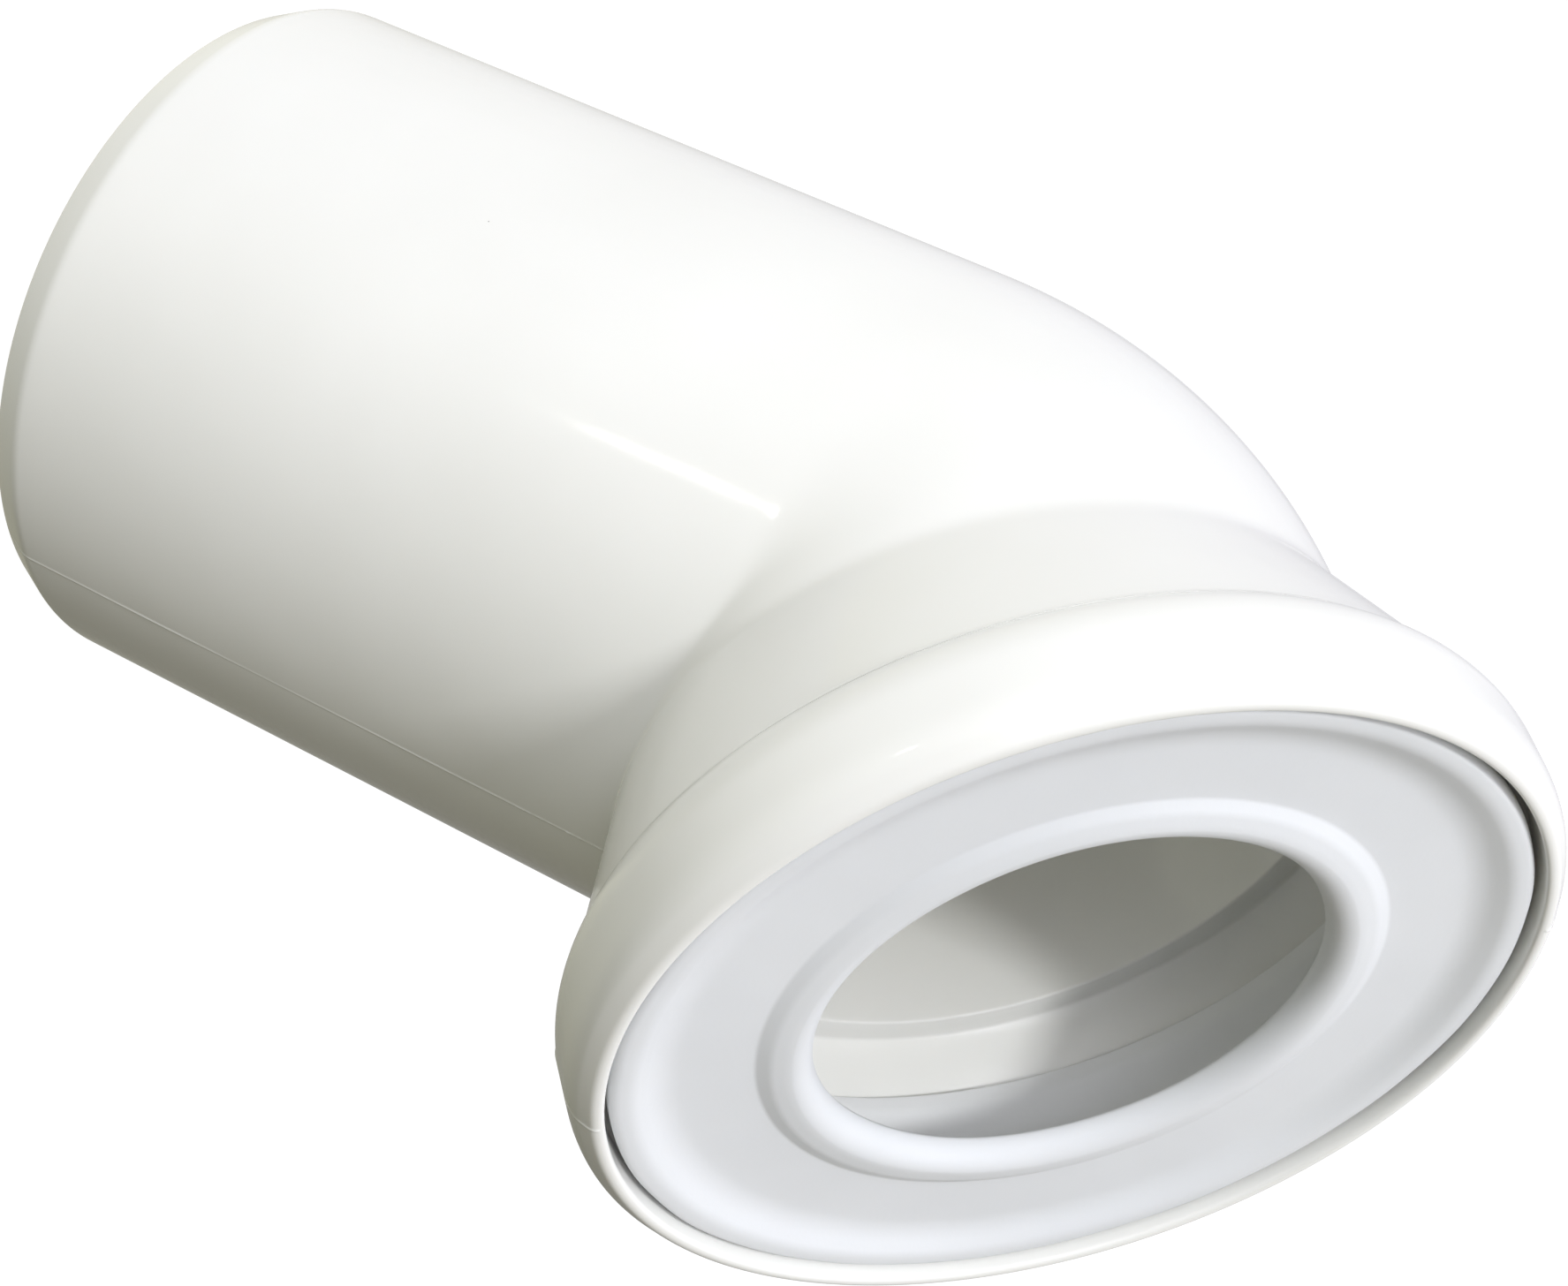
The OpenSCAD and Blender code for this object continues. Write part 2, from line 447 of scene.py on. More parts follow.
@dataclass(frozen=True)
class Finish:
    """A moulded finish: colour that drifts a little, varied gloss, relief, specks and a lighter
    flash, partly a painted highlight.
    """

    name: str
    colour: Colour
    second_colour: Colour
    # Colour of the parting-line flash: lighter than the body, partly its own colour and partly a
    # painted highlight.
    flash_highlight_colour: Colour
    roughness: float
    roughness_drift: float
    wave_scale: float
    wave_height: float
    grain: float
    grain_scale: float
    scratch_gloss_loss: float
    speck_share: float
    ior: float = 1.49
    subsurface: float = 0.0
    subsurface_radius: float = 0.002
    subsurface_spread: Colour = (1.0, 0.9, 0.8)
    tone_from: float = 0.35
    tone_to: float = 0.65
    speck_tone: float = 0.25
    mark_gloss_loss: float = 0.12
    wear_gloss_loss: float = 0.16
    scratch_depth: float = 0.0015

    def material(self, groups: NodeGroups) -> bpy.types.Material:
        """Builds the finish.

        Args:
            groups: The shared node groups.

        Returns:
            The new material.
        """
        made = bpy.data.materials.new(self.name)
        made.use_nodes = True
        tree = made.node_tree
        shader = tree.nodes["Principled BSDF"]
        shader.inputs["IOR"].default_value = self.ior
        shader.inputs["Subsurface Weight"].default_value = self.subsurface
        shader.inputs["Subsurface Radius"].default_value = self.subsurface_spread
        shader.inputs["Subsurface Scale"].default_value = self.subsurface_radius
        position = tree.nodes.new("ShaderNodeTexCoord").outputs["Object"]
        waves = {
            "Wave Scale": self.wave_scale,
            "Grain Scale": self.grain_scale,
            "Grain": self.grain,
        }
        relief = self._place(tree, groups.relief, position, waves)
        scratches = self._place(tree, groups.scratches, position, {})
        specks = self._place(tree, groups.specks, position, {"Share": self.speck_share})
        flash_highlight = self._mask(tree, Mask.FLASH_HIGHLIGHT.value)
        wear = self._mask(tree, Mask.WEAR.value)
        self._colour(tree, shader, relief, specks, flash_highlight)
        self._gloss(tree, shader, relief, scratches, flash_highlight, wear)
        self._relief(tree, shader, relief, scratches)
        return made

    @staticmethod
    def _place(
        tree: Tree, group: Tree, position: Socket, values: dict[str, float]
    ) -> bpy.types.Node:
        """Places a shared group on the position, with its own values for the named inputs.

        Args:
            tree: The material's tree.
            group: The shared group.
            position: Where the effect is read.
            values: Value for each named input.

        Returns:
            The group's node.
        """
        node = tree.nodes.new("ShaderNodeGroup")
        node.node_tree = group
        tree.links.new(position, node.inputs["Position"])
        for label, value in values.items():
            node.inputs[label].default_value = value
        return node

    @staticmethod
    def _mask(tree: Tree, name: str) -> Socket:
        """Reads one of the piece's own per-vertex masks.

        Args:
            tree: The material's tree.
            name: Name of the mask.

        Returns:
            The mask's value.
        """
        node = tree.nodes.new("ShaderNodeAttribute")
        node.attribute_name = name
        return node.outputs["Fac"]

    @staticmethod
    def _mix(tree: Tree, factor: Socket, a: Socket | Colour, b: Socket | Colour) -> Socket:
        """Mixes two colours.

        Args:
            tree: The material's tree.
            factor: Share of the second colour.
            a: First colour, a socket or a plain colour.
            b: Second colour, likewise.

        Returns:
            The mixed colour.
        """
        node = tree.nodes.new("ShaderNodeMix")
        node.data_type = "RGBA"
        tree.links.new(factor, node.inputs["Factor"])
        ports = [s for s in node.inputs if s.type == "RGBA"]
        for socket, value in zip(ports, (a, b)):
            if isinstance(value, bpy.types.NodeSocket):
                tree.links.new(value, socket)
            else:
                socket.default_value = (*value, 1.0)
        return next(s for s in node.outputs if s.type == "RGBA")

    def _colour(
        self,
        tree: Tree,
        shader: bpy.types.Node,
        relief: bpy.types.Node,
        specks: bpy.types.Node,
        flash_highlight: Socket,
    ) -> None:
        """Base colour: the two tones mixed by the slow wave, then the specks, then the lighter
        flash, partly a painted highlight.

        Args:
            tree: The material's tree.
            shader: The Principled shader.
            relief: Node of the moulded relief.
            specks: Node of the specks.
            flash_highlight: Mask of the parting-line flash, whose lighter colour is partly a
                painted highlight.
        """
        tone = tree.nodes.new("ShaderNodeMapRange")
        tone.inputs["From Min"].default_value = self.tone_from
        tone.inputs["From Max"].default_value = self.tone_to
        tree.links.new(relief.outputs["Wave"], tone.inputs["Value"])
        base = self._mix(tree, tone.outputs["Result"], self.colour, self.second_colour)
        dark = tuple(c * self.speck_tone for c in self.colour)
        dotted = self._mix(tree, specks.outputs["Mask"], base, dark)
        # The flash's lighter colour is partly a painted highlight of the light that its ridge
        # catches.
        flash_highlighted = self._mix(tree, flash_highlight, dotted, self.flash_highlight_colour)
        tree.links.new(flash_highlighted, shader.inputs["Base Color"])

    def _gloss(
        self,
        tree: Tree,
        shader: bpy.types.Node,
        relief: bpy.types.Node,
        scratches: bpy.types.Node,
        flash_highlight: Socket,
        wear: Socket,
    ) -> None:
        """Roughness: the finish's own, plus drift, duller where worn, marked or scratched.

        Args:
            tree: The material's tree.
            shader: The Principled shader.
            relief: Node of the moulded relief.
            scratches: Node of the scratches.
            flash_highlight: Mask of the marks.
            wear: Mask of the worn edges.
        """
        lowest = self.roughness - 0.5 * self.roughness_drift
        wave = relief.outputs["Wave"]
        total = math_node(tree, "MULTIPLY_ADD", wave, self.roughness_drift, lowest)
        losses = (
            (scratches.outputs["Mask"], self.scratch_gloss_loss),
            (flash_highlight, self.mark_gloss_loss),
            (wear, self.wear_gloss_loss),
        )
        for mask, amount in losses:
            total = math_node(tree, "ADD", total, math_node(tree, "MULTIPLY", mask, amount))
        tree.links.new(total, shader.inputs["Roughness"])

    def _relief(
        self, tree: Tree, shader: bpy.types.Node, relief: bpy.types.Node, scratches: bpy.types.Node
    ) -> None:
        """Normal: the moulded relief, with the scratches cut into it.

        Args:
            tree: The material's tree.
            shader: The Principled shader.
            relief: Node of the moulded relief.
            scratches: Node of the scratches.
        """
        cut = math_node(tree, "MULTIPLY", scratches.outputs["Mask"], -self.scratch_depth)
        height = math_node(tree, "ADD", relief.outputs["Height"], cut)
        bump = tree.nodes.new("ShaderNodeBump")
        bump.inputs["Strength"].default_value = 1.0
        bump.inputs["Distance"].default_value = self.wave_height
        tree.links.new(height, bump.inputs["Height"])
        tree.links.new(bump.outputs["Normal"], shader.inputs["Normal"])


GLOSSY_MOULDING = Finish(
    name="glossy_white_moulding",
    colour=(0.875, 0.875, 0.850),
    second_colour=(0.850, 0.850, 0.822),
    # Lighter flash colour along the parting line, partly a painted highlight.
    flash_highlight_colour=(0.98, 0.98, 0.97),
    roughness=0.09,
    roughness_drift=0.06,
    wave_scale=26.0,
    wave_height=0.00035,
    grain=0.010,
    grain_scale=700.0,
    scratch_gloss_loss=0.10,
    speck_share=0.994,
    subsurface=0.06,
)

SATIN_RUBBER = Finish(
    name="satin_grey_rubber",
    colour=(0.780, 0.798, 0.822),
    second_colour=(0.755, 0.774, 0.799),
    flash_highlight_colour=(0.86, 0.87, 0.89),
    roughness=0.44,
    roughness_drift=0.16,
    wave_scale=34.0,
    wave_height=0.0004,
    grain=0.035,
    grain_scale=1100.0,
    scratch_gloss_loss=0.08,
    speck_share=0.998,
    ior=1.47,
    subsurface=0.10,
)

MATT_RING = Finish(
    name="matt_grey_plastic",
    colour=(0.83, 0.84, 0.85),
    second_colour=(0.80, 0.81, 0.82),
    flash_highlight_colour=(0.88, 0.89, 0.89),
    roughness=0.52,
    roughness_drift=0.14,
    wave_scale=40.0,
    wave_height=0.0004,
    grain=0.06,
    grain_scale=900.0,
    scratch_gloss_loss=0.06,
    speck_share=0.995,
)


# -------------------------------------------------------------------------------------------------
# The connector's one moulding
# -------------------------------------------------------------------------------------------------


@dataclass
class ConnectorBody:
    """The white moulding: spigot, bend, flare, rounded rim and waterway. Sizes in metres."""

    axis: SocketAxis
    pipe_r: float = 55.0 * MM
    bore_r: float = 50.8 * MM
    lead_len: float = 5.8 * MM
    lead_r: float = 52.1 * MM
    bend_r: float = 36.0 * MM
    bend_from: float = 96.0 * MM
    flare_from: float = 20.8 * MM
    flare_to: float = 30.0 * MM
    crease_s: float = 46.3 * MM
    crease_r: float = 65.9 * MM
    crown_r: float = 69.2 * MM
    crown_from: float = 53.6 * MM
    crown_to: float = 58.6 * MM
    nose_r: float = 67.2 * MM
    nose_s: float = 63.6 * MM
    front_s: float = 65.0 * MM
    recess_r: float = 64.9 * MM
    recess_s: float = 59.0 * MM
    seat_wall: float = 3.4 * MM
    stop_s: float = 28.9 * MM
    bore_from: float = 27.0 * MM
    columns: int = 224
    bend_rows: int = 96
    bore_rows: int = 56
    flash_height: float = 0.15 * MM
    flash_width: float = 0.13 * MM
    search_reach: float = 12.0 * MM
    search_steps: int = 40
    bend_blur: float = 1.5
    bore_blur: float = 1.2
    front_edge_r: float = 66.6 * MM
    recess_chamfer: float = 1.5 * MM
    front_edge_round: float = 0.9 * MM
    wall_rows: int = 14
    wear_gain: float = 4.0
    piece: bpy.types.Object | None = field(default=None, init=False)

    @property
    def flare_slope(self) -> float:
        """Radius that the flare gains for each metre along the socket's axis."""
        return (self.crease_r - self.pipe_r) / (self.crease_s - self.flare_from)

    def flare_radius(self, along: np.ndarray) -> np.ndarray:
        """Outside radius of the flare at a distance along the socket's axis."""
        return self.pipe_r + (along - self.flare_from) * self.flare_slope

    def azimuths(self) -> np.ndarray:
        """Column angles: even all round, with finer ones on both sides of the mould's parting line.

        Returns:
            Angles from 0 up to a full turn, in rising order.
        """
        even = np.arange(self.columns) * FULL_TURN / self.columns
        beside = np.array([-2.4, -1.2, -0.6, -0.35, -0.15, 0.15, 0.35, 0.6, 1.2, 2.4])
        fine = beside * MM / self.pipe_r
        step = FULL_TURN / self.columns
        fine = fine[np.abs(fine) < 0.8 * step]
        both = np.concatenate([even, (fine + FULL_TURN) % FULL_TURN, fine + math.pi])
        return np.unique(np.round(both, 7))

    def bend_grid(self, azimuth: np.ndarray, radius: float, rows: int, flared: bool) -> np.ndarray:
        """The bend as a grid: each column is one path, sampled at equal shares of its own length.

        A path goes straight up the spigot's wall, then around the bend's pivot, then straight along
        the socket's wall and, if flared, out along the flare. On the throat side the wall would
        fold over the pivot, so there a path has no arc: it turns at the plane that halves the bend,
        or where the upright wall meets the flare if that comes first.

        Args:
            azimuth: Column angles.
            radius: Radius of the wall.
            rows: Rows in the grid.
            flared: True for the outside, which ends on the flare; False for the bore.

        Returns:
            Grid of shape (rows, columns, 3).
        """
        lean, crossing, pivot = self.axis.lean, self.axis.crossing, self.bend_r
        reach = radius * np.cos(azimuth)
        arm = np.maximum(pivot - reach, 0.0)
        folded = reach > pivot
        tangent = pivot * math.tan(lean / 2)
        mitre = reach * math.tan(lean / 2)
        turn_z = np.where(folded, crossing - mitre, crossing - tangent)
        join_s = np.where(folded, mitre, tangent)
        join_az = azimuth.copy()
        if flared:
            turn_z, join_s, join_az = self._meet_flare(azimuth, radius, turn_z, join_s)
        end_s = self.flare_to if flared else self.bore_from
        pipe_end = self.flare_from if flared else end_s
        up = turn_z - self.bend_from
        around = arm * lean
        straight = np.maximum(pipe_end - join_s, 0.0)
        flare_start = np.maximum(join_s, self.flare_from)
        flare_run = end_s - flare_start if flared else np.zeros_like(reach)
        slant = math.hypot(1.0, self.flare_slope)
        share = np.linspace(0, 1, rows)[:, None]
        walked = share * (up + around + straight + flare_run * slant)
        rise = np.clip(walked, 0, up)
        swept = np.clip(walked - up, 0, around)
        ahead = np.clip(walked - up - around, 0, straight)
        on_flare = np.maximum(walked - up - around - straight, 0) / slant
        angle = swept / np.maximum(arm, TINY)
        grid = np.zeros((rows, len(azimuth), 3))
        grid[..., 0] = reach + arm * (1 - np.cos(angle)) + ahead * math.sin(lean)
        grid[..., 1] = radius * np.sin(azimuth)
        grid[..., 2] = self.bend_from + rise + arm * np.sin(angle) + ahead * math.cos(lean)
        if flared:
            along = flare_start + on_flare
            blend = on_flare / flare_run
            turned = join_az + (azimuth - join_az) * blend
            cone = self.axis.place(self.flare_radius(along), turned, along)
            grid = np.where((on_flare > 0)[..., None], cone, grid)
        return grid

    def _meet_flare(
        self, azimuth: np.ndarray, radius: float, turn_z: np.ndarray, join_s: np.ndarray
    ) -> tuple[np.ndarray, np.ndarray, np.ndarray]:
        """Where the upright wall meets the flare before it reaches the plane that halves the bend.

        The height is found by halving an interval: below it the point is outside the flare's cone.

        Args:
            azimuth: Column angles.
            radius: Radius of the wall.
            turn_z: Height where each column would turn otherwise.
            join_s: Distance along the socket's axis where it would go on.

        Returns:
            The new heights, distances and azimuths on the flare.
        """
        x, y = radius * np.cos(azimuth), radius * np.sin(azimuth)
        late = join_s > self.flare_from
        low, high = turn_z - self.search_reach, turn_z.copy()
        for _ in range(self.search_steps):
            z = 0.5 * (low + high)
            along, across = self._socket_frame(x, z)
            outside = np.hypot(across, y) > self.flare_radius(along)
            low, high = np.where(outside, z, low), np.where(outside, high, z)
        along, across = self._socket_frame(x, high)
        angle = np.arctan2(y, across) % FULL_TURN
        return (
            np.where(late, high, turn_z),
            np.where(late, along, join_s),
            np.where(late, angle, azimuth),
        )

    def _socket_frame(self, x: np.ndarray, z: np.ndarray) -> tuple[np.ndarray, np.ndarray]:
        """Distances along the socket's axis and towards the throat side of points in the XZ plane.

        Args:
            x: X of each point.
            z: Z of each point.

        Returns:
            Distance along the axis, and distance towards the throat side.
        """
        dz = z - self.axis.crossing
        sin, cos = math.sin(self.axis.lean), math.cos(self.axis.lean)
        return x * sin + dz * cos, x * cos - dz * sin

    def spigot_line(self) -> np.ndarray:
        """Outside of the spigot as (radius, height): end face, lead-in taper and plain wall."""
        line = rounded([
            (self.bore_r, 1.2 * MM),
            (self.bore_r, 0.0, 0.45 * MM),
            (self.lead_r, 0.0, 0.55 * MM),
            (self.pipe_r, self.lead_len, 1.1 * MM),
            (self.pipe_r, self.bend_from),
        ])
        return resample(line[1:-1], 6 * MM)

    def plain_wall(self) -> np.ndarray:
        """The plain wall between the lead-in taper and the bend, as (radius, height)."""
        low, high = self.lead_len + 4 * MM, self.bend_from - 1 * MM
        heights = np.linspace(low, high, self.wall_rows)
        return np.stack([np.full_like(heights, self.pipe_r), heights], -1)

    def rim_line(self) -> np.ndarray:
        """Flare, rim, front edge, recess, seat and stop shoulder as (radius, distance).

        Returns:
            Points in order, from the flare round the front edge to the bore.
        """
        rise = self.crown_r - self.crease_r
        run = self.crown_from - self.crease_s
        curve = (rise**2 + run**2) / (2 * rise)
        start = -math.degrees(math.asin(run / curve))
        back = arc((self.crown_r - curve, self.crown_from), (curve, curve), start, 0, 14)
        flare = rounded([
            (float(self.flare_radius(self.flare_to + 0.6 * MM)), self.flare_to + 0.6 * MM),
            (self.crease_r, self.crease_s, 0.9 * MM),
            (float(back[1, 0]), float(back[1, 1])),
        ], 5)
        depth = (self.crown_r - self.nose_r, self.nose_s - self.crown_to)
        nose = arc((self.nose_r, self.crown_to), depth, 0, 66, 10)
        seat_r = self.crease_r - self.seat_wall
        seat_back_r = float(self.flare_radius(self.stop_s)) - self.seat_wall
        inside = rounded([
            (float(nose[-1, 0]), float(nose[-1, 1])),
            (self.front_edge_r, self.front_s, 0.7 * MM),
            (self.recess_r, self.front_s, self.front_edge_round),
            (self.recess_r, self.recess_s, 0.35 * MM),
            (seat_r, self.recess_s - self.recess_chamfer, 0.6 * MM),
            (seat_r, self.crease_s, 0.6 * MM),
            (seat_back_r, self.stop_s, 0.5 * MM),
            (self.bore_r, self.stop_s, 0.5 * MM),
            (self.bore_r, self.bore_from + 0.6 * MM),
        ], 5)
        crown = np.array([[self.crown_r, self.crown_to]])
        line = np.concatenate([flare[:-1], back[1:], crown, nose[1:-1], inside])
        return resample(line, 2.2 * MM)

    def grid(self) -> tuple[np.ndarray, np.ndarray, np.ndarray]:
        """The whole skin as one closed grid, with its outside rows marked.

        Returns:
            Points of shape (rows, columns, 3), the column angles, and a weight for each row that
            is 1 where the mould's parting line runs and 0 inside.
        """
        azimuth = self.azimuths()
        foot = self._turned_about_z(self.spigot_line(), azimuth)
        wall = self._turned_about_z(self.plain_wall(), azimuth)
        bend = smoothed(self.bend_grid(azimuth, self.pipe_r, self.bend_rows, True), self.bend_blur)
        rim = self.rim_line()
        socket = self.axis.place(rim[:, :1], azimuth[None], rim[:, 1:])
        inner = self.bend_grid(azimuth, self.bore_r, self.bore_rows, False)
        bore = smoothed(inner, self.bore_blur)[::-1]
        low = np.stack([np.full(6, self.bore_r), np.linspace(84, 4, 6) * MM], -1)
        tail = self._turned_about_z(low, azimuth)
        outside = rim[:, 0] > self.recess_r + self.front_edge_round
        weight = np.concatenate([
            np.clip((self.spigot_line()[:, 1] / MM - 0.6) / 1.5, 0, 1),
            np.ones(len(wall) + len(bend)),
            outside.astype(float),
            np.zeros(len(bore) + len(tail)),
        ])
        return np.concatenate([foot, wall, bend, socket, bore, tail]), azimuth, weight

    @staticmethod
    def _turned_about_z(line: np.ndarray, azimuth: np.ndarray) -> np.ndarray:
        """Turns a (radius, height) line about the Z axis.

        Args:
            line: Points as (radius, height), one row each.
            azimuth: Column angles.

        Returns:
            Grid of the turned points.
        """
        radius, height = line[:, :1], line[:, 1:]
        flat = np.broadcast_to(height, (len(line), len(azimuth)))
        return np.stack([radius * np.cos(azimuth), radius * np.sin(azimuth), flat], -1)

    def parting_line(self, grid: np.ndarray, azimuth: np.ndarray, weight: np.ndarray) -> np.ndarray:
        """Height of the mould's parting line: a narrow, uneven ridge at azimuth 0 and pi.

        Args:
            grid: Points of the skin.
            azimuth: Column angles.
            weight: Row weights.

        Returns:
            Height for each point, between 0 and 1.
        """
        from_line = np.abs((azimuth + math.pi / 2) % math.pi - math.pi / 2)
        ridge = np.exp(-((from_line * self.pipe_r / self.flash_width) ** 2))
        rows = np.linspace(0, FULL_TURN, len(grid))
        uneven = 0.7 + 0.3 * smooth_noise(rows, 5, (9, 17, 31, 44, 71))
        return ridge[None] * (weight * np.clip(uneven, 0.15, 1.3))[:, None]

    def build(self) -> bpy.types.Object:
        """Builds the skin, with the masks that its finish reads.

        Returns:
            The new piece.
        """
        grid, azimuth, weight = self.grid()
        flash = self.parting_line(grid, azimuth, weight)
        grid = grid + grid_normals(grid) * (flash * self.flash_height)[..., None]
        self.piece = mesh_from_grid("connector_moulding", grid)
        rows = np.linspace(0, FULL_TURN, len(grid))
        # This mask lightens the colour along the parting line: partly the flash's own colour,
        # partly a painted highlight.
        bright = np.clip(0.60 + 0.50 * smooth_noise(rows, 11, (13, 29, 47, 83)), 0.3, 1.0)
        set_mask(self.piece, Mask.FLASH_HIGHLIGHT, flash * bright[:, None])
        set_mask(self.piece, Mask.WEAR, self._edge_wear(grid, azimuth))
        return self.piece

    def _edge_wear(self, grid: np.ndarray, azimuth: np.ndarray) -> np.ndarray:
        """Wear where the skin turns tightly outwards along a column, broken up around the turn.

        Args:
            grid: Points of the skin.
            azimuth: Column angles.

        Returns:
            Wear for each point, from 0 to 1.
        """
        ahead, behind = np.roll(grid, -1, 0) - grid, grid - np.roll(grid, 1, 0)
        ahead_n = ahead / np.maximum(np.linalg.norm(ahead, axis=-1, keepdims=True), TINY)
        behind_n = behind / np.maximum(np.linalg.norm(behind, axis=-1, keepdims=True), TINY)
        turn = np.einsum("ijk,ijk->ij", behind_n - ahead_n, grid_normals(grid))
        bend = np.clip(turn * self.wear_gain, 0, 1)
        patchy = np.clip(0.5 + 0.5 * smooth_noise(azimuth, 3, (7, 13, 23, 37, 61)), 0, 1)
        return bend * patchy[None]

    def dress(self, groups: NodeGroups) -> None:
        """Puts the finish on, ties the piece to its body, and hides the CAD nodes that it stands
        for.

        Args:
            groups: The shared node groups.
        """
        self.piece.data.materials.append(GLOSSY_MOULDING.material(groups))
        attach(self.piece, Body.CONNECTOR.value)
        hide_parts("spigot_pipe", "bend_elbow", "socket_collar")


# -------------------------------------------------------------------------------------------------
# The removable seal
# -------------------------------------------------------------------------------------------------


@dataclass
class TurnedPiece:
    """A piece that is a closed profile turned about the socket's axis."""

    axis: SocketAxis
    columns: int = 256

    def azimuths(self) -> np.ndarray:
        """Even column angles."""
        return np.arange(self.columns) * FULL_TURN / self.columns

    def turned(self, profile: np.ndarray) -> np.ndarray:
        """Grid of a closed (radius, distance) profile about the socket's axis."""
        return self.axis.place(profile[:, :1], self.azimuths()[None], profile[:, 1:])

    @staticmethod
    def edge_mask(profile: np.ndarray) -> np.ndarray:
        """How sharply a closed profile turns outwards at each point, from 0 to 1.

        Args:
            profile: Closed outline, one point in each row.

        Returns:
            The sharpness at each point.
        """
        ahead, behind = np.roll(profile, -1, 0) - profile, profile - np.roll(profile, 1, 0)
        angle = np.arctan2(
            behind[:, 0] * ahead[:, 1] - behind[:, 1] * ahead[:, 0], (behind * ahead).sum(1)
        )
        return np.clip(angle * 3.0, 0, 1)


@dataclass
class SealProfile:
    """Sizes that the seal and its ring share, from the seat of the socket inwards. In metres."""

    seat_front_r: float = 62.5 * MM
    flare_slope: float = 0.42745
    crease_s: float = 46.3 * MM
    gap: float = 0.3 * MM
    rubber_t: float = 1.3 * MM
    back_s: float = 38.4 * MM
    bare_s: float = 41.0 * MM
    ring_front_s: float = 57.0 * MM
    ring_in_back_r: float = 56.4 * MM
    ring_in_front_r: float = 58.2 * MM

    def rubber_radius(self, along: float) -> float:
        """Outside radius of the sleeve: the seat's, less the gap."""
        back = min(along - self.crease_s, 0.0)
        return self.seat_front_r + back * self.flare_slope - self.gap

    def ring_radius(self, along: float) -> float:
        """Outside radius of the ring under the rubber."""
        return self.rubber_radius(along) - self.rubber_t


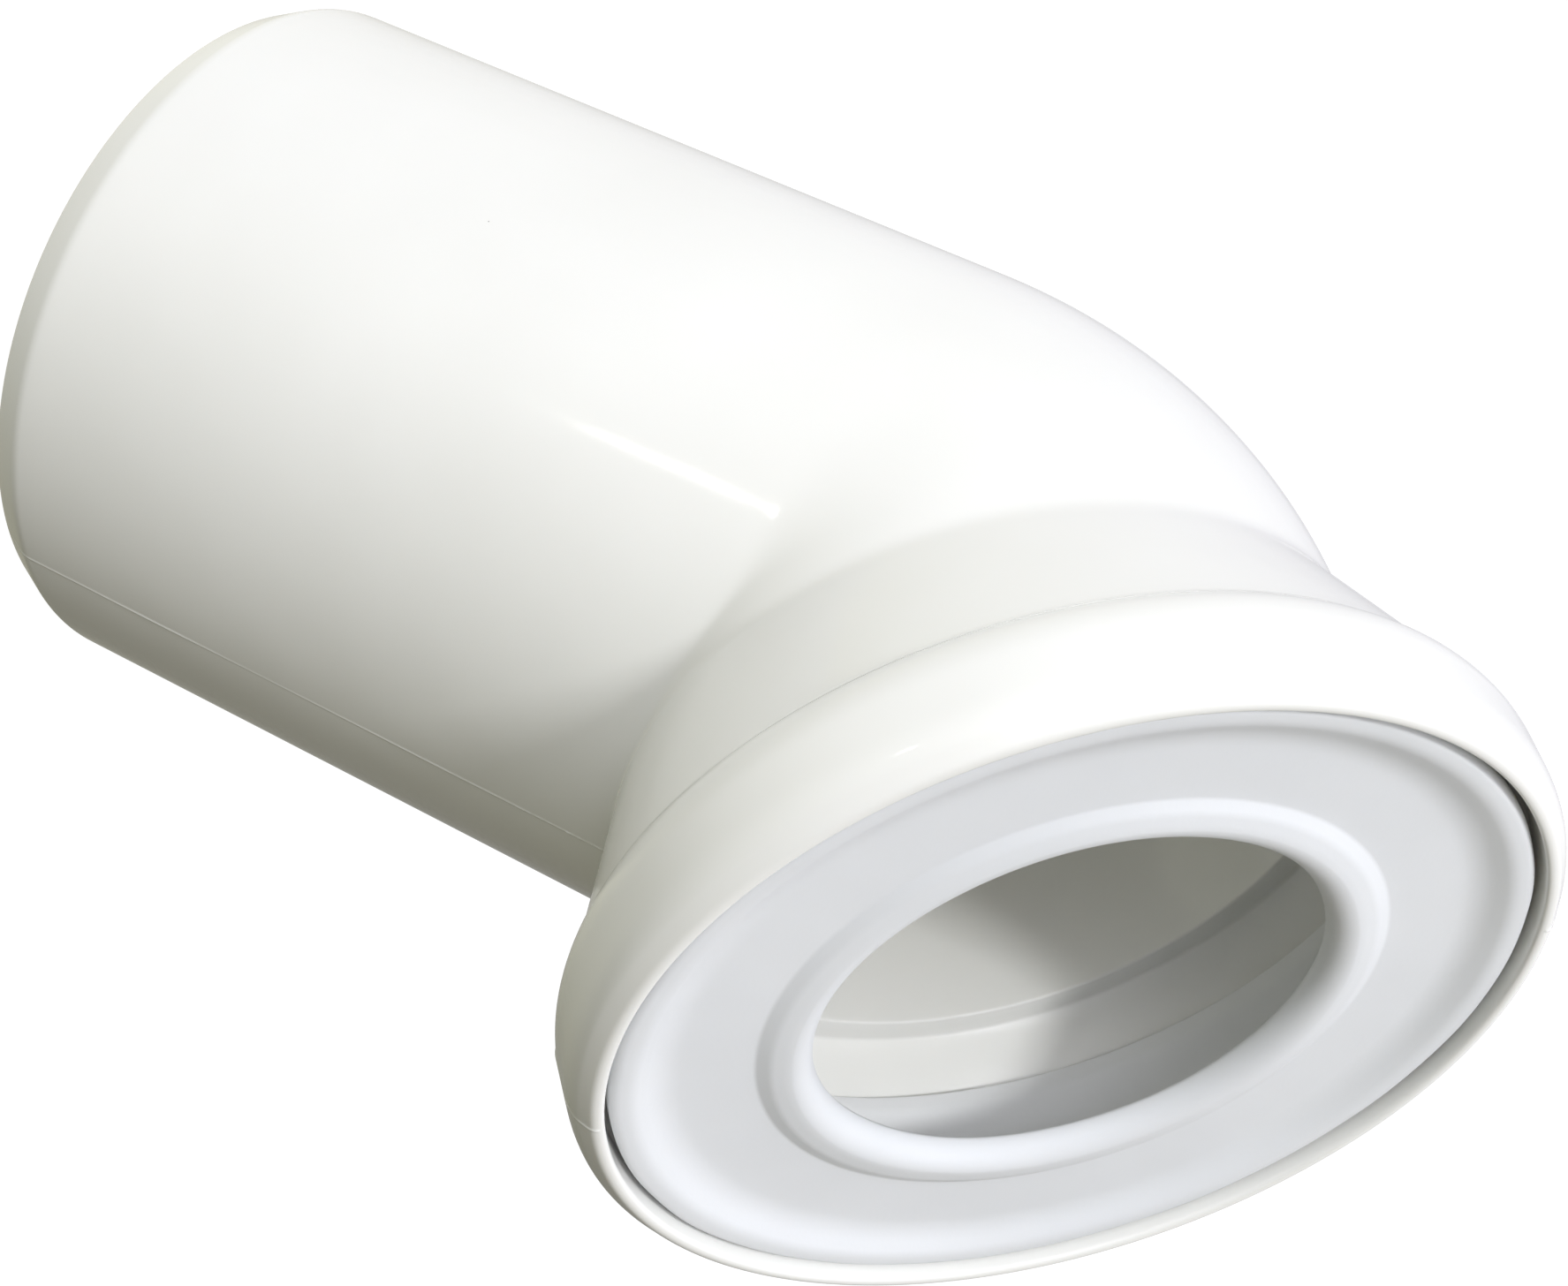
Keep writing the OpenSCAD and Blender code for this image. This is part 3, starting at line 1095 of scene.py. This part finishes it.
@dataclass
class LipSeal(TurnedPiece):
    """The grey rubber seal: ribbed sleeve, raised outer ring, flat membrane and the rolled lip."""

    shape: SealProfile = field(default_factory=SealProfile)
    bead_r: float = 64.0 * MM
    bead_front_s: float = 63.4 * MM
    bead_back_s: float = 59.8 * MM
    step_r: float = 59.4 * MM
    face_s: float = 61.1 * MM
    foot_r: float = 43.7 * MM
    crest_r: float = 39.6 * MM
    crest_s: float = 62.6 * MM
    lip_r: float = 35.9 * MM
    lip_s: float = 59.1 * MM
    lip_t: float = 1.1 * MM
    membrane_t: float = 2.2 * MM
    rib_s: tuple[float, ...] = (44.5 * MM, 50.0 * MM, 55.5 * MM)
    rib_h: float = 0.7 * MM
    rib_w: float = 1.8 * MM
    bead_waver: float = 0.10 * MM
    lip_waver: float = 0.12 * MM
    step_top: float = 1.5 * MM
    step_foot: float = 2.8 * MM
    piece: bpy.types.Object | None = field(default=None, init=False)

    def sleeve(self) -> np.ndarray:
        """Outside of the sleeve, from its back edge to the bead, with its round ribs.

        Returns:
            Points as (radius, distance), one row each.
        """
        shape = self.shape
        along = np.concatenate([
            np.array([shape.bare_s]),
            *[np.linspace(s - self.rib_w / 2, s + self.rib_w / 2, 9) for s in self.rib_s],
        ])
        base = np.array([shape.rubber_radius(float(s)) - self.rib_h for s in along])
        across = [(along - s) / self.rib_w for s in self.rib_s]
        lift = sum(np.where(np.abs(x) < 0.5, np.cos(x * math.pi), 0) for x in across)
        return np.stack([base + lift * self.rib_h, along], -1)

    def profile(self) -> np.ndarray:
        """The closed outline of the seal as (radius, distance), starting at the sleeve's back edge.

        Returns:
            Points of the outline, one row each.
        """
        shape = self.shape
        neck_r = shape.rubber_radius(shape.crease_s) - self.rib_h
        front = rounded([
            (neck_r, self.bead_back_s - 2 * MM),
            (neck_r, self.bead_back_s, 0.3 * MM),
            (self.bead_r, self.bead_back_s, 0.9 * MM),
            (self.bead_r, self.bead_front_s, 1.5 * MM),
            (self.step_r + self.step_top, self.bead_front_s, 1.1 * MM),
            (self.step_r - self.step_foot, self.face_s, 2.4 * MM),
            (self.foot_r + 0.4 * MM, self.face_s, 0.35 * MM),
            (self.crest_r + 2.6 * MM, self.crest_s - 0.5 * MM, 0.6 * MM),
            (self.crest_r, self.crest_s),
        ], 7)
        roll_radii = (self.crest_r - self.lip_r, self.crest_s - self.lip_s)
        roll = arc((self.crest_r, self.lip_s), roll_radii, 90, 180, 16)
        tip_shares = np.array([[0.15, -0.38], [0.5, -0.5], [0.85, -0.38]])
        tip = np.array([[self.lip_r, self.lip_s]]) + tip_shares * self.lip_t
        under_radii = (roll_radii[0] - self.lip_t, roll_radii[1] - self.lip_t)
        under = arc((self.crest_r, self.lip_s), under_radii, 180, 104, 12)
        back = rounded([
            (float(under[-1, 0]), float(under[-1, 1])),
            (self.foot_r - 0.8 * MM, self.face_s - self.membrane_t, 0.8 * MM),
            (shape.ring_in_front_r, self.face_s - self.membrane_t, 0.4 * MM),
            (shape.ring_in_front_r, shape.ring_front_s),
            (shape.ring_radius(shape.crease_s), shape.ring_front_s),
            (shape.ring_radius(shape.crease_s), shape.crease_s),
            (shape.ring_radius(shape.bare_s), shape.bare_s),
        ], 4)
        line = np.concatenate([self.sleeve(), front[:-1], roll, tip, under[:-1], back])
        return resample(line, 1.6 * MM)

    def build(self) -> bpy.types.Object:
        """Builds the seal: the turned profile, with a bead and a lip that waver a little.

        Returns:
            The new piece.
        """
        profile = self.profile()
        azimuth = self.azimuths()
        grid = self.turned(profile)
        outward = grid - self.axis.place(0.0, azimuth[None], profile[:, 1:])
        outward /= np.linalg.norm(outward, axis=-1, keepdims=True)
        at_bead = np.exp(-(((profile[:, 0] - self.bead_r) / (1.6 * MM)) ** 2))
        at_bead *= profile[:, 1] > self.bead_back_s - 0.5 * MM
        at_lip = np.exp(-(((profile[:, 0] - self.lip_r) / (2.2 * MM)) ** 2))
        bead_shift = smooth_noise(azimuth, 21, (2, 3, 5, 9, 14, 23)) * self.bead_waver
        lip_shift = smooth_noise(azimuth, 22, (2, 3, 4, 7)) * self.lip_waver
        shift = at_bead[:, None] * bead_shift + at_lip[:, None] * lip_shift
        grid = grid + outward * shift[..., None]
        self.piece = mesh_from_grid("lip_seal_rubber", grid)
        patchy = np.clip(0.5 + 0.5 * smooth_noise(azimuth, 23, (5, 11, 19, 31)), 0, 1)
        set_mask(self.piece, Mask.WEAR, self.edge_mask(profile)[:, None] * patchy[None])
        set_mask(self.piece, Mask.FLASH_HIGHLIGHT, np.zeros(grid.shape[:2]))
        return self.piece

    def dress(self, groups: NodeGroups) -> None:
        """Puts the finish on, ties the piece to its body, and hides the CAD node that it stands
        for.

        Args:
            groups: The shared node groups.
        """
        self.piece.data.materials.append(SATIN_RUBBER.material(groups))
        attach(self.piece, Body.SEAL.value)
        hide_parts("lip_seal")


@dataclass
class SupportRing(TurnedPiece):
    """The stiff tapered ring inside the seal's sleeve, bare at its back edge."""

    shape: SealProfile = field(default_factory=SealProfile)
    piece: bpy.types.Object | None = field(default=None, init=False)

    def profile(self) -> np.ndarray:
        """The closed outline of the ring as (radius, distance).

        Returns:
            Points of the outline, one row each.
        """
        shape = self.shape
        bare_r = shape.rubber_radius(shape.bare_s) - shape.gap
        back_r = shape.rubber_radius(shape.back_s) - shape.gap
        line = rounded([
            (shape.ring_in_back_r + 0.8 * MM, shape.back_s),
            (back_r, shape.back_s, 0.5 * MM),
            (bare_r, shape.bare_s, 0.3 * MM),
            (shape.ring_radius(shape.bare_s), shape.bare_s, 0.1 * MM),
            (shape.ring_radius(shape.crease_s), shape.crease_s, 0.5 * MM),
            (shape.ring_radius(shape.crease_s), shape.ring_front_s, 0.4 * MM),
            (shape.ring_in_front_r, shape.ring_front_s, 0.4 * MM),
            (shape.ring_in_front_r, shape.crease_s, 1.0 * MM),
            (shape.ring_in_back_r, shape.bare_s, 0.8 * MM),
            (shape.ring_in_back_r, shape.back_s, 0.5 * MM),
            (shape.ring_in_back_r + 0.8 * MM, shape.back_s),
        ], 5)
        return resample(line[:-1], 1.6 * MM)

    def build(self) -> bpy.types.Object:
        """Builds the ring and the masks that its finish reads.

        Returns:
            The new piece.
        """
        profile = self.profile()
        grid = self.turned(profile)
        self.piece = mesh_from_grid("seal_support_ring", grid)
        patchy = np.clip(0.5 + 0.5 * smooth_noise(self.azimuths(), 31, (5, 11, 17)), 0, 1)
        set_mask(self.piece, Mask.WEAR, self.edge_mask(profile)[:, None] * patchy[None])
        set_mask(self.piece, Mask.FLASH_HIGHLIGHT, np.zeros(grid.shape[:2]))
        return self.piece

    def dress(self, groups: NodeGroups) -> None:
        """Puts the finish on, ties the piece to its body, and hides the CAD node that it stands
        for.

        Args:
            groups: The shared node groups.
        """
        self.piece.data.materials.append(MATT_RING.material(groups))
        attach(self.piece, Body.SEAL.value)
        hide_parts("support_ring")


# -------------------------------------------------------------------------------------------------
# Camera, floor and light
# -------------------------------------------------------------------------------------------------


@dataclass(frozen=True)
class Viewpoint:
    """Where the camera stands and how it is turned: a rolled view, looking down into the socket."""

    position: tuple[float, float, float] = (0.24642, -0.33490, 0.25812)
    right: tuple[float, float, float] = (-0.52094, 0.00162, 0.85359)
    down: tuple[float, float, float] = (0.65776, 0.63811, 0.40022)
    forward: tuple[float, float, float] = (-0.54404, 0.76995, -0.33348)
    lens_mm: float = 67.6

    def toward(self, right: float, up: float, back: float) -> Vector:
        """A unit direction given by its shares to the view's right, up and back to the viewer."""
        made = Vector(self.right) * right - Vector(self.down) * up - Vector(self.forward) * back
        return made.normalized()

    def make_camera(self) -> bpy.types.Object:
        """Makes the camera and sets it as the scene's camera.

        Returns:
            The camera.
        """
        data = bpy.data.cameras.new("view")
        data.lens = self.lens_mm
        data.sensor_width = 36.0
        data.sensor_fit = "HORIZONTAL"
        data.clip_start = 0.01
        data.clip_end = 100.0
        camera = bpy.data.objects.new("view", data)
        up, back = -Vector(self.down), -Vector(self.forward)
        axes = Matrix((self.right, up, back)).transposed()
        camera.matrix_world = Matrix.Translation(self.position) @ axes.to_4x4()
        bpy.context.scene.collection.objects.link(camera)
        bpy.context.scene.camera = camera
        return camera


@dataclass(frozen=True)
class Lamp:
    """An area light that faces a target from a direction, with its length along a given line."""

    name: str
    target: Vector
    direction: Vector
    distance: float
    size: tuple[float, float]
    power: float
    colour: Colour
    long_axis: Vector
    in_gloss: bool = True

    def make(self) -> bpy.types.Object:
        """Makes the light, aimed at its target.

        Returns:
            The light.
        """
        data = bpy.data.lights.new(self.name, "AREA")
        data.shape = "RECTANGLE"
        data.size, data.size_y = self.size
        data.energy = self.power
        data.color = self.colour
        lamp = bpy.data.objects.new(self.name, data)
        back = self.direction.normalized()
        across = self.long_axis.cross(back).normalized()
        along = back.cross(across).normalized()
        turn = Matrix((across, along, back)).transposed().to_4x4()
        lamp.matrix_world = Matrix.Translation(self.target + back * self.distance) @ turn
        lamp.visible_camera = False
        lamp.visible_glossy = self.in_gloss
        bpy.context.scene.collection.objects.link(lamp)
        return lamp


@dataclass(frozen=True)
class Glow:
    """One soft area of the surround: colour * exp(sharpness * (cosine to its middle - 1))."""

    direction: tuple[float, float, float]
    colour: Colour
    sharpness: float = 6.0


@dataclass
class Studio:
    """A pale floor, a surround of soft glows, and small lamps. Directions are right, up, back."""

    view: Viewpoint
    floor_half: float = 30.0
    level: float = 0.73
    glows: tuple[Glow, ...] = (
        Glow((0.30, 0.25, 0.92), (5.6, 5.6, 5.9), 60.0),
        Glow((0.55, -0.20, 0.81), (1.4, 1.2, 1.1), 60.0),
        Glow((0.24, 0.48, 0.84), (1.92, 1.92, 2.02)),
        Glow((0.00, -1.00, -0.08), (0.58, 0.54, 0.40)),
        Glow((-0.54, 0.44, -0.72), (0.88, 0.86, 0.62)),
        Glow((0.32, 0.56, -0.77), (0.74, 0.73, 0.84)),
        Glow((-0.15, 0.90, -0.42), (0.74, 0.74, 0.66)),
        Glow((0.61, -0.64, -0.46), (1.30, 1.28, 1.30)),
        Glow((-0.75, 0.60, 0.27), (0.78, 0.78, 0.62)),
        Glow((-0.50, 0.55, 0.62), (0.48, 0.48, 0.46)),
        Glow((0.53, -0.09, -0.84), (0.52, 0.52, 0.54)),
        Glow((-0.17, 0.91, 0.39), (0.19, 0.21, 0.38)),
        Glow((-0.86, -0.07, 0.50), (0.12, 0.13, 0.02)),
        Glow((0.90, -0.40, 0.30), (2.30, 2.34, 2.50), 12.0),
    )

    def floor(self) -> bpy.types.Object:
        """A wide pale floor at the height the spigot stands on. It doesn't light the part.

        Returns:
            The floor.
        """
        half = self.floor_half
        mesh = bpy.data.meshes.new("floor")
        corners = [(-half, -half, 0), (half, -half, 0), (half, half, 0), (-half, half, 0)]
        mesh.from_pydata(corners, [], [(0, 1, 2, 3)])
        made = bpy.data.objects.new("floor", mesh)
        made.visible_diffuse = False
        made.visible_glossy = False
        made.visible_shadow = False
        made.visible_transmission = False
        bpy.context.scene.collection.objects.link(made)
        mesh.materials.append(self._floor_material())
        return made

    @staticmethod
    def _floor_material() -> bpy.types.Material:
        """A pale sheet that is nearly white on its own and shows only a faint shadow.

        Returns:
            The material.
        """
        made = bpy.data.materials.new("pale_floor")
        made.use_nodes = True
        shader = made.node_tree.nodes["Principled BSDF"]
        shader.inputs["Base Color"].default_value = (0.10, 0.10, 0.10, 1)
        shader.inputs["Roughness"].default_value = 0.9
        shader.inputs["Specular IOR Level"].default_value = 0.0
        shader.inputs["Emission Color"].default_value = (1, 1, 1, 1)
        shader.inputs["Emission Strength"].default_value = 0.97
        return made

    def surround(self) -> None:
        """The world: the sum of the glows for light and gloss, and plain white behind the part."""
        world = bpy.data.worlds.new("studio")
        bpy.context.scene.world = world
        world.use_nodes = True
        tree = world.node_tree
        tree.nodes.clear()
        position = tree.nodes.new("ShaderNodeTexCoord").outputs["Generated"]
        total = None
        for glow in self.glows:
            part = self._glow_shader(tree, position, glow)
            if total is None:
                total = part
                continue
            both = tree.nodes.new("ShaderNodeAddShader")
            tree.links.new(total, both.inputs[0])
            tree.links.new(part, both.inputs[1])
            total = both.outputs[0]
        seen = tree.nodes.new("ShaderNodeBackground")
        seen.inputs["Color"].default_value = (1, 1, 1, 1)
        path = tree.nodes.new("ShaderNodeLightPath")
        mix = tree.nodes.new("ShaderNodeMixShader")
        tree.links.new(path.outputs["Is Camera Ray"], mix.inputs["Fac"])
        tree.links.new(total, mix.inputs[1])
        tree.links.new(seen.outputs["Background"], mix.inputs[2])
        out = tree.nodes.new("ShaderNodeOutputWorld")
        tree.links.new(mix.outputs["Shader"], out.inputs["Surface"])

    def _glow_shader(self, tree: Tree, position: Socket, glow: Glow) -> Socket:
        """Makes one glow as a Background shader.

        Args:
            tree: The world's tree.
            position: The direction that is looked in.
            glow: The glow.

        Returns:
            The shader's output.
        """
        cosine = tree.nodes.new("ShaderNodeVectorMath")
        cosine.operation = "DOT_PRODUCT"
        cosine.inputs[1].default_value = self.view.toward(*glow.direction)
        tree.links.new(position, cosine.inputs[0])
        below = math_node(tree, "SUBTRACT", cosine.outputs["Value"], 1.0)
        scaled = math_node(tree, "MULTIPLY", below, glow.sharpness)
        power = math_node(tree, "EXPONENT", scaled)
        made = tree.nodes.new("ShaderNodeBackground")
        made.inputs["Color"].default_value = (*(self.level * c for c in glow.colour), 1)
        tree.links.new(power, made.inputs["Strength"])
        return made.outputs["Background"]

    def lamps(self) -> list[Lamp]:
        """The soft key from the right, and two small lamps that show in the gloss of tube and rim.

        Returns:
            The lamps, not yet made.
        """
        key = Lamp(
            name="key",
            target=Vector((0.03, 0, 0.165)),
            direction=self.view.toward(0.56, 0.07, 0.83),
            distance=1.3,
            size=(0.18, 0.18),
            power=8.8,
            colour=(0.98, 0.99, 1.0),
            long_axis=Vector((0, 0, 1)),
            in_gloss=False,
        )
        streak = Lamp(
            name="streak",
            target=Vector((0.0257, -0.0486, 0.106)),
            direction=Vector((0.287, -0.876, -0.388)),
            distance=1.2,
            size=(0.02, 0.062),
            power=0.26,
            colour=(1, 1, 0.93),
            long_axis=Vector((0, 0, 1)),
        )
        glint = Lamp(
            name="glint",
            target=Vector((0.0, -0.04, 0.21)),
            direction=self.view.toward(0.30, 0.93, 0.12),
            distance=1.2,
            size=(0.02, 0.12),
            power=0.13,
            colour=(1, 1, 1),
            long_axis=self.view.toward(1, 0, 0),
        )
        return [key, streak, glint]

    def light(self) -> None:
        """Makes the surround and the lamps."""
        self.surround()
        for lamp in self.lamps():
            lamp.make()


def main() -> None:
    """Builds the camera, the stage and every piece, in order."""
    logging.basicConfig(level=logging.INFO, format="%(name)s: %(message)s")
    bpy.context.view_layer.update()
    view = Viewpoint()
    view.make_camera()
    bpy.context.scene.view_settings.view_transform = "Standard"
    axis = SocketAxis.from_record(frame["record"])
    groups = NodeGroups()
    for part in (ConnectorBody(axis), SupportRing(axis), LipSeal(axis)):
        piece = part.build()
        part.dress(groups)
        LOG.info("%s: %d faces", piece.name, len(piece.data.polygons))
    studio = Studio(view)
    studio.floor()
    studio.light()


if __name__ == "__main__":
    main()
